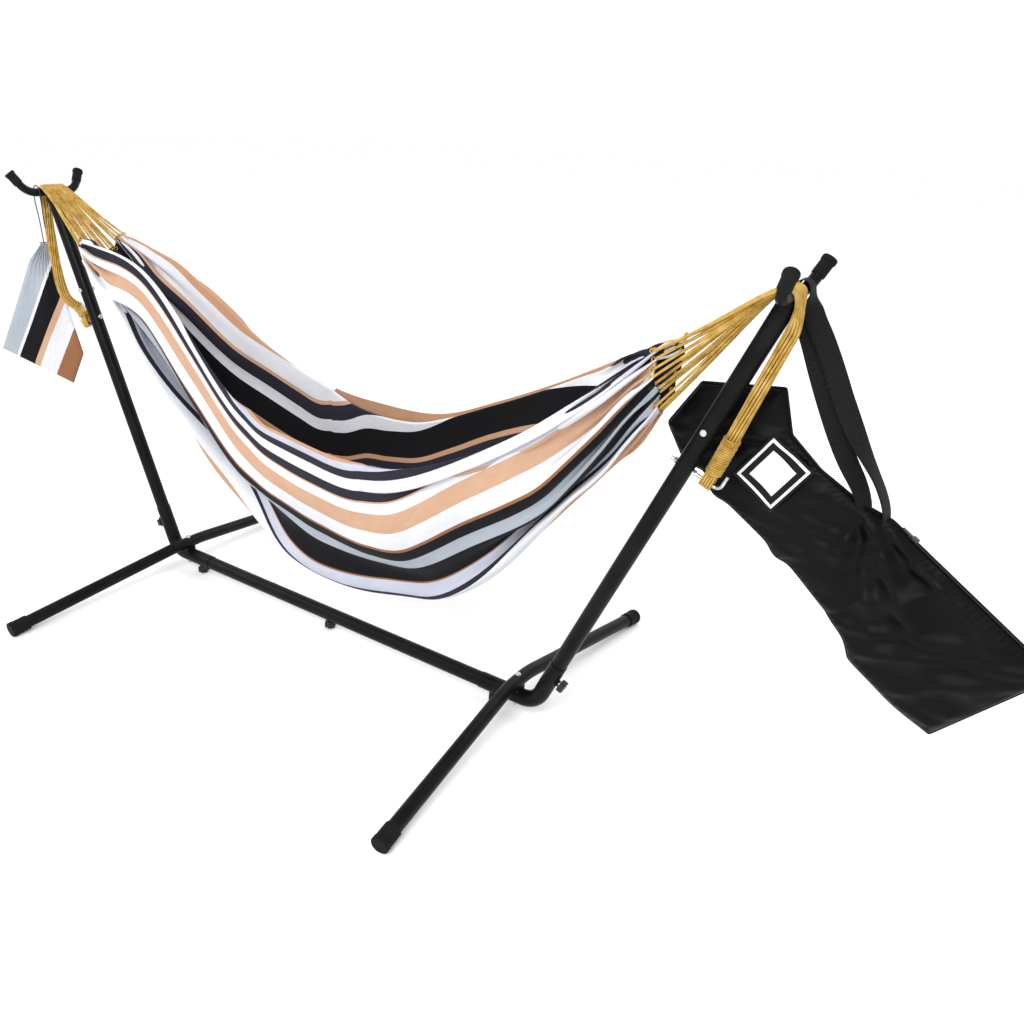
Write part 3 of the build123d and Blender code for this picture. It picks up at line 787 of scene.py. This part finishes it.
def ridge(x, z, start, end, width, lift):
    """A crease from start to end that rises to lift and is width wide, softer on its far side."""
    a = np.array([MIDDLE + start[0], start[1]])
    b = np.array([MIDDLE + end[0], end[1]])
    run = b - a
    length = np.hypot(*run)
    run = run / length
    along = (x - a[0]) * run[0] + (z - a[1]) * run[1]
    off = (x - a[0]) * -run[1] + (z - a[1]) * run[0]
    off = off + 0.006 * np.sin(along * 26 + start[0] * 40)
    fade = smoothstep(along, -0.02, 0.05) * smoothstep(along, length, length * 0.55)
    spread = width * (0.55 + 0.9 * np.clip(along / length, 0, 1))
    peak = np.exp(-(off / spread) ** 2)
    trough = np.exp(-((off + 1.6 * spread) / (1.5 * spread)) ** 2)
    return lift * fade * (peak - 0.55 * trough)


CREASES = [  # start, end, width and lift, on the bag's front
    ((1.352, 0.744), (1.56, 0.40), 0.024, 0.016), ((1.346, 0.742), (1.43, 0.42), 0.018, 0.013),
    ((1.338, 0.744), (1.30, 0.56), 0.020, 0.011), ((1.380, 0.736), (1.69, 0.49), 0.017, 0.012),
    ((1.290, 0.772), (1.12, 0.70), 0.024, 0.010), ((1.246, 0.790), (1.04, 0.77), 0.022, 0.009),
    ((1.195, 0.838), (0.99, 0.88), 0.024, 0.009), ((1.315, 0.520), (1.45, 0.58), 0.016, 0.010),
    ((1.382, 0.430), (1.55, 0.49), 0.020, 0.012), ((1.215, 0.600), (1.32, 0.66), 0.018, 0.010),
    ((1.030, 0.735), (1.14, 0.83), 0.018, 0.009), ((1.46, 0.38), (1.66, 0.47), 0.018, 0.009),
    ((1.520, 0.650), (1.40, 0.52), 0.020, 0.008),
]


def make_bag():
    along, across = 240, 120
    lower, upper = [smooth_line(edge, along) + (MIDDLE, 0, 0) for edge in bag_edges()]
    lower = dented(lower)
    u = np.linspace(0, 1, along)[:, None]
    v = np.linspace(0, 1, across)[None, :]
    flat = lower[:, None, :] * (1 - v[..., None]) + upper[:, None, :] * v[..., None]
    x, z = flat[..., 0], flat[..., 2]
    edge = np.minimum(np.minimum(v, 1 - v) * 0.28, np.minimum(u, 1 - u) * 0.95)
    body = np.sqrt(np.clip(1 - (1 - np.clip(edge / 0.055, 0, 1)) ** 2, 0, 1))
    depth = 0.013 + 0.012 * smoothstep(u, 0.55, 0.95) + 0.006 * smoothstep(u, 0.25, 0.0)
    grids = []
    for front in (1, -1):
        creases = sum(ridge(x, z, a, b, width, lift) for a, b, width, lift in CREASES)
        ripple = (0.0022 * np.sin(31 * x + 9 * np.sin(19 * z) + front)
                  + 0.0014 * np.sin(83 * z + 23 * x + 2 * front))
        fat = body * (depth + (0.9 if front > 0 else 0.6) * creases + ripple * smoothstep(edge, 0, 0.02))
        puckers = 0.0020 * np.exp(-edge / 0.012) * np.sin(u * 330 + 6 * v) * (front + 0.2)
        points = flat.copy()
        points[..., 1] = BAG_Y - front * (0.0015 + fat) + puckers * 0.6
        attribute = np.stack([x, z], axis=-1)
        if front < 0:
            points, attribute = points[:, ::-1], attribute[:, ::-1]
        grids.append((points, attribute, False))
    shell = build("bag_shell", "bag_nylon", "bag", grids, replaces=["carry_bag"])
    thicken(shell, 0.0012)
    outline = np.concatenate([lower, upper[::-1]])
    line = resample(np.vstack([outline, outline[:1]]), 900)
    line[:, 1] = BAG_Y
    tangent = np.gradient(line, axis=0)
    tangent /= np.linalg.norm(tangent, axis=1, keepdims=True)
    outward = np.stack([tangent[:, 2], np.zeros(len(line)), -tangent[:, 0]], axis=1)
    section = [(-0.006, 0.0022), (0.0026, 0.0026), (0.0040, 0.0), (0.0026, -0.0026), (-0.006, -0.0022)]
    ring = np.stack([line + outward * a + np.array([0, b, 0]) for a, b in section], axis=1)
    way = np.linspace(0, 4.4, len(line))[:, None]
    attribute = np.stack(np.broadcast_arrays(np.linspace(0, 0.012, 5)[None, :], way), axis=-1)
    build("bag_binding", "strap_webbing", "bag", [(ring, attribute, True)])
    return shell


def ribbon(line, width_axis, width, thickness, columns=9, cup=0.0):
    """A flat strap along a line. width_axis holds the way across it at each point."""
    tangents = np.gradient(line, axis=0)
    tangents /= np.linalg.norm(tangents, axis=1, keepdims=True)
    face = np.cross(tangents, width_axis)
    face /= np.linalg.norm(face, axis=1, keepdims=True)
    v = np.linspace(-0.5, 0.5, columns)
    rim = np.concatenate([v, v[::-1]])
    lift = np.concatenate([np.ones(columns), -np.ones(columns)]) * thickness / 2
    lift = lift * np.sqrt(np.clip(1.02 - (2 * rim) ** 8, 0.1, 1)) + cup * (1 - (2 * rim) ** 2)
    points = (line[:, None, :] + width_axis[:, None, :] * (rim * width)[None, :, None]
              + face[:, None, :] * lift[None, :, None])
    steps = np.linalg.norm(np.diff(line, axis=0), axis=1)
    along = np.concatenate([[0], np.cumsum(steps)])
    return points, np.stack(np.broadcast_arrays((rim * width)[None, :], along[:, None]), axis=-1), True


def make_strap():
    hang = upright_point(1, YOKE_AT + 0.003)
    ends = [np.array([MIDDLE + x, STRAP_Y, z]) for x, z in STRAP_ENDS]
    top = np.array([hang[0], STRAP_Y, hang[2]])
    points = [ends[0] + np.array([0.002, 0.012, -0.012]),
              ends[0] + np.array([-0.002, 0.004, 0.02]),
              ends[0] * 0.75 + top * 0.25 + np.array([-0.012, 0, 0]),
              ends[0] * 0.45 + top * 0.55 + np.array([-0.018, 0, 0]),
              ends[0] * 0.15 + top * 0.85 + np.array([-0.014, 0, 0]),
              top + np.array([-0.0165, 0, -0.03]),
              top + np.array([-0.0165, 0, 0.010]),
              top + np.array([0, 0, 0.0225]),
              top + np.array([0.0165, 0, 0.010]),
              top + np.array([0.017, 0, -0.035]),
              ends[1] * 0.25 + top * 0.75 + np.array([0.004, 0.004, 0]),
              ends[1] * 0.6 + top * 0.4 + np.array([-0.004, 0.004, 0]),
              ends[1] + np.array([0.002, 0.004, 0.03]),
              ends[1] + np.array([0.002, 0.012, -0.012])]
    line = route(points, 320)
    way = np.linspace(0, 1, len(line))
    turn = (1.1 * smoothstep(way, 0.52, 0.57) - 0.95 * smoothstep(way, 0.74, 0.92)
            - 0.95 * smoothstep(way, 0.46, 0.36) + 0.45 * smoothstep(way, 0.14, 0.0))
    tangents = np.gradient(line, axis=0)
    tangents /= np.linalg.norm(tangents, axis=1, keepdims=True)
    across = np.tile([0.0, 1.0, 0.0], (len(line), 1))
    across -= tangents * (across * tangents).sum(axis=1, keepdims=True)
    across /= np.linalg.norm(across, axis=1, keepdims=True)
    other = np.cross(tangents, across)
    across = across * np.cos(turn)[:, None] + other * np.sin(turn)[:, None]
    return build("strap_ribbon", "strap_webbing", "bag", [ribbon(line, across, 0.040, 0.0022, cup=0.0006)],
                 replaces=["bag_strap"])


def make_patch_piece():
    low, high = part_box("bag_label")
    centre = (np.array(low) + np.array(high)) / 2
    run = np.diff(bag_edges()[1], axis=0)[-1]
    tilt = math.atan2(run[1], run[0])
    n = 28
    a = np.linspace(-0.055, 0.055, n)[:, None]
    b = np.linspace(-0.062, 0.062, n)[None, :]
    x = centre[0] + a * math.cos(tilt) - b * math.sin(tilt)
    z = centre[2] + a * math.sin(tilt) + b * math.cos(tilt)
    creases = sum(ridge(x, z, p, q, width, lift) for p, q, width, lift in CREASES)
    points = np.stack([x, BAG_Y - 0.0215 - 0.9 * creases, z], axis=-1)
    attribute = np.stack(np.broadcast_arrays(a, b), axis=-1)
    patch = build("plain_patch", "label_woven", "bag", [(points, attribute, False)], replaces=["bag_label"])
    return thicken(patch, 0.0009, 1.0)


def make_zip():
    low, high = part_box("bag_zip")
    start, end = np.array([low.x, BAG_Y, high.z]), np.array([high.x, BAG_Y, low.z])
    line = np.linspace(start, end, 120)
    across = np.tile([0.0, 1.0, 0.0], (120, 1))
    grids = [ribbon(line, across, 0.016, 0.0008)]
    run = (end - start) / np.linalg.norm(end - start)
    off = np.array([-run[2], 0, run[0]])
    count = int(np.linalg.norm(end - start) / 0.0028)
    for k in range(count):
        at = start + run * (k + 0.5) * 0.0028 + off * 0.0012
        side = 0.0011 if k % 2 else -0.0011
        corners = np.array([[a * 0.0010, side + b * 0.0026] for a, b in ((-1, -1), (1, -1), (1, 1), (-1, 1))])
        rings = []
        for height, shrink in ((-0.0008, 1.0), (0.0006, 1.0), (0.0011, 0.6)):
            level = at + off * height
            rings.append([level + run * a * shrink + np.array([0, b * shrink, 0]) for a, b in corners])
        grids.append((np.array(rings), np.zeros((3, 4, 2)), True))
    return build("zip_coil", "zip_tape", "bag", grids, replaces=["bag_zip"])


make_bag()
make_strap()
make_patch_piece()
make_zip()


# The small striped pouch: a drawn-up bag, folded flat

def pouch_frame():
    sideways = np.array([math.cos(POUCH_TURN), math.sin(POUCH_TURN), 0])
    return np.array([POUCH_X + MIDDLE, POUCH_Y, 0]), sideways, np.cross(sideways, (0, 0, 1))


def pouch_edges():
    """The left and right edges of the frame's pouch, from its neck down, in its own flat plane."""
    points = frame_points("storage_pouch")
    neck = points[points[:, 2] > points[:, 2].max() - 0.001].mean(axis=0)
    sideways = pouch_frame()[1]
    flat = np.stack([(points - neck) @ sideways, points[:, 2]], axis=1)
    corners = np.unique(flat.round(4), axis=0)
    corners = corners[np.argsort(-corners[:, 1])]
    return corners[corners[:, 0] < 0], corners[corners[:, 0] > 0]


def make_pouch():
    origin, sideways, normal = pouch_frame()
    rows, columns = 170, 130
    edges = [smooth_line(edge, rows, passes=3) for edge in pouch_edges()]
    u = np.linspace(0, 1, rows)[:, None]
    v = np.linspace(0, 1, columns)[None, :]
    flat = edges[0][:, None, :] * (1 - v[..., None]) + edges[1][:, None, :] * v[..., None]
    gather = smoothstep(u, 0.42, 0.02)
    edge = np.minimum(np.minimum(v, 1 - v) * 0.25, (1 - u) * 0.4)
    body = np.sqrt(np.clip(1 - (1 - np.clip(edge / 0.03, 0, 1)) ** 2, 0, 1))
    grids = []
    for front in (1, -1):
        pleats = 0.0042 * gather * np.sin(2 * math.pi * 8 * v + 1.5 * np.sin(3 * u) + front)
        folds = 0.0045 * np.sin(2 * math.pi * (1.6 * v + 0.35 * u) + 1.1 * front)
        folds = folds * (1 - gather) * smoothstep(u, 0.1, 0.5)
        fat = body * (0.0085 + 0.0045 * gather + pleats + folds)
        points = origin + flat[..., :1] * sideways + (fat[..., None] * front + 0.0008 * front) * normal
        points = points + np.array([0, 0, 1.0]) * flat[..., 2:]
        corner = edges[0][-1]
        across = (flat[..., 0] - corner[0]) * 0.888 - (flat[..., 2] - corner[2]) * 0.460
        attribute = np.stack(np.broadcast_arrays(np.maximum(across, 0.001), 0.45 * u + 0 * v), axis=-1)
        if front < 0:
            points, attribute = points[:, ::-1], attribute[:, ::-1]
        grids.append((points, attribute, False))
    mouth = []
    turn = np.linspace(0, 2 * math.pi, 72, endpoint=False)
    ruffle = ((0.964, 1.0), (0.972, 0.75), (0.979, 0.8), (0.986, 1.05), (0.988, 1.1), (0.978, 0.3))
    for height, size in ruffle:
        radius = 0.0115 * size * (1 + 0.22 * np.sin(9 * turn))
        mouth.append(origin + np.outer(np.cos(turn) * radius * 1.15 - 0.003, sideways)
                     + np.outer(np.sin(turn) * radius, normal) + np.array([0, 0, height]))
    mouth = np.array(mouth)
    around = np.broadcast_to(0.004 + 0.046 * turn / (2 * math.pi), mouth.shape[:2])
    down = np.broadcast_to(np.linspace(0, 0.03, 6)[:, None], around.shape)
    grids.append((mouth, np.stack([around, down], axis=-1), True))
    pouch = build("pouch_cloth", "pouch_cotton", "pouch", grids, replaces=["storage_pouch"])
    return thicken(pouch, 0.0010)


def make_drawstring():
    origin, sideways, normal = pouch_frame()
    yoke = upright_point(-1, YOKE_AT)
    reach = YOKE_R + 0.005
    neck = origin + np.array([0, 0, 0.976])
    over = np.array([yoke[0], STRING_Y, yoke[2]])
    points = [neck - sideways * 0.006, neck - sideways * 0.008 + np.array([0, 0, 0.03]),
              (neck + over) / 2 + np.array([-0.012, 0, 0]), over + np.array([-reach, 0, -0.03]),
              over + np.array([-reach, 0, 0.010]), over + np.array([-0.004, 0, reach + 0.004]),
              over + np.array([0.006, 0, reach + 0.003]), over + np.array([reach, 0, 0.008]),
              over + np.array([reach, 0, -0.03]), (neck + over) / 2 + np.array([0.006, 0.003, 0]),
              neck + sideways * 0.006 + np.array([0, 0, 0.03]), neck + sideways * 0.004]
    line = route(points, 200)
    grids = [laid_cord(resample(line, cord_count(line, 0.0016)), 0.0017, around=8)]
    turn = np.linspace(0, 2 * math.pi * 3.2, 160)
    wrap = (neck + np.outer(np.cos(turn) * 0.0125 - 0.0025, sideways)
            + np.outer(np.sin(turn) * 0.0108, normal) + np.outer(np.linspace(-0.005, 0.004, 160), (0, 0, 1)))
    grids.append(laid_cord(resample(wrap, 180), 0.0018, around=8))
    return build("pouch_string", "dark_cord", "pouch", grids, replaces=["pouch_drawstring"])


make_pouch()
make_drawstring()


# Floor, lights and camera

def make_floor():
    mesh = bpy.data.meshes.new("floor")
    mesh.from_pydata([(-30, -30, 0), (30, -30, 0), (30, 30, 0), (-30, 30, 0)], [], [(0, 1, 2, 3)])
    floor = bpy.data.objects.new("floor", mesh)
    bpy.context.scene.collection.objects.link(floor)
    finish = Finish("floor", (0.92, 0.92, 0.92), 0.9, specular=0.1)
    at = finish.place()
    patches = finish.noise(at, 3.0, 2.0)
    finish.colour(finish.ramp(patches, [(0.3, (0.94, 0.94, 0.94)), (0.7, (0.96, 0.96, 0.96))]))
    mesh.materials.append(finish.material)


def make_light(name, place, target, size, power):
    data = bpy.data.lights.new(name, "AREA")
    data.shape = "RECTANGLE"
    data.size = size
    data.size_y = size
    data.energy = power
    light = bpy.data.objects.new(name, data)
    light.location = place
    light.rotation_euler = (Vector(target) - Vector(place)).to_track_quat("-Z", "Y").to_euler()
    bpy.context.scene.collection.objects.link(light)


def make_camera():
    yaw, pitch, roll = -0.60764, 0.41393, 0.03742
    ahead = Vector((math.sin(yaw) * math.cos(pitch), math.cos(yaw) * math.cos(pitch), -math.sin(pitch)))
    right = Vector((math.cos(yaw), -math.sin(yaw), 0))
    above = right.cross(ahead)
    level = right
    right = level * math.cos(roll) + above * math.sin(roll)
    above = above * math.cos(roll) - level * math.sin(roll)
    data = bpy.data.cameras.new("camera")
    data.sensor_width = 36.0
    data.lens = 32.72
    data.shift_x = 0.0548
    data.shift_y = -0.0030
    camera = bpy.data.objects.new("camera", data)
    turned = Matrix((right, above, -ahead)).transposed().to_4x4()
    camera.matrix_world = Matrix.Translation((MIDDLE + 1.6490, -1.7576, 1.4508)) @ turned
    bpy.context.scene.collection.objects.link(camera)
    bpy.context.scene.camera = camera


make_floor()
make_light("key", (1.2, -3.4, 3.4), (0, 0, 0.6), 2.0, 125)
make_light("fill", (-3.4, -1.6, 2.6), (0, 0, 0.6), 2.6, 45)
make_light("back", (0.6, 3.4, 3.2), (0, 0, 0.7), 2.6, 40)
world = bpy.data.worlds.new("studio")
world.use_nodes = True
world.node_tree.nodes["Background"].inputs["Color"].default_value = (1.0, 1.0, 1.0, 1)
world.node_tree.nodes["Background"].inputs["Strength"].default_value = 1.05
bpy.context.scene.world = world
bpy.context.scene.view_settings.view_transform = "Standard"
make_camera()
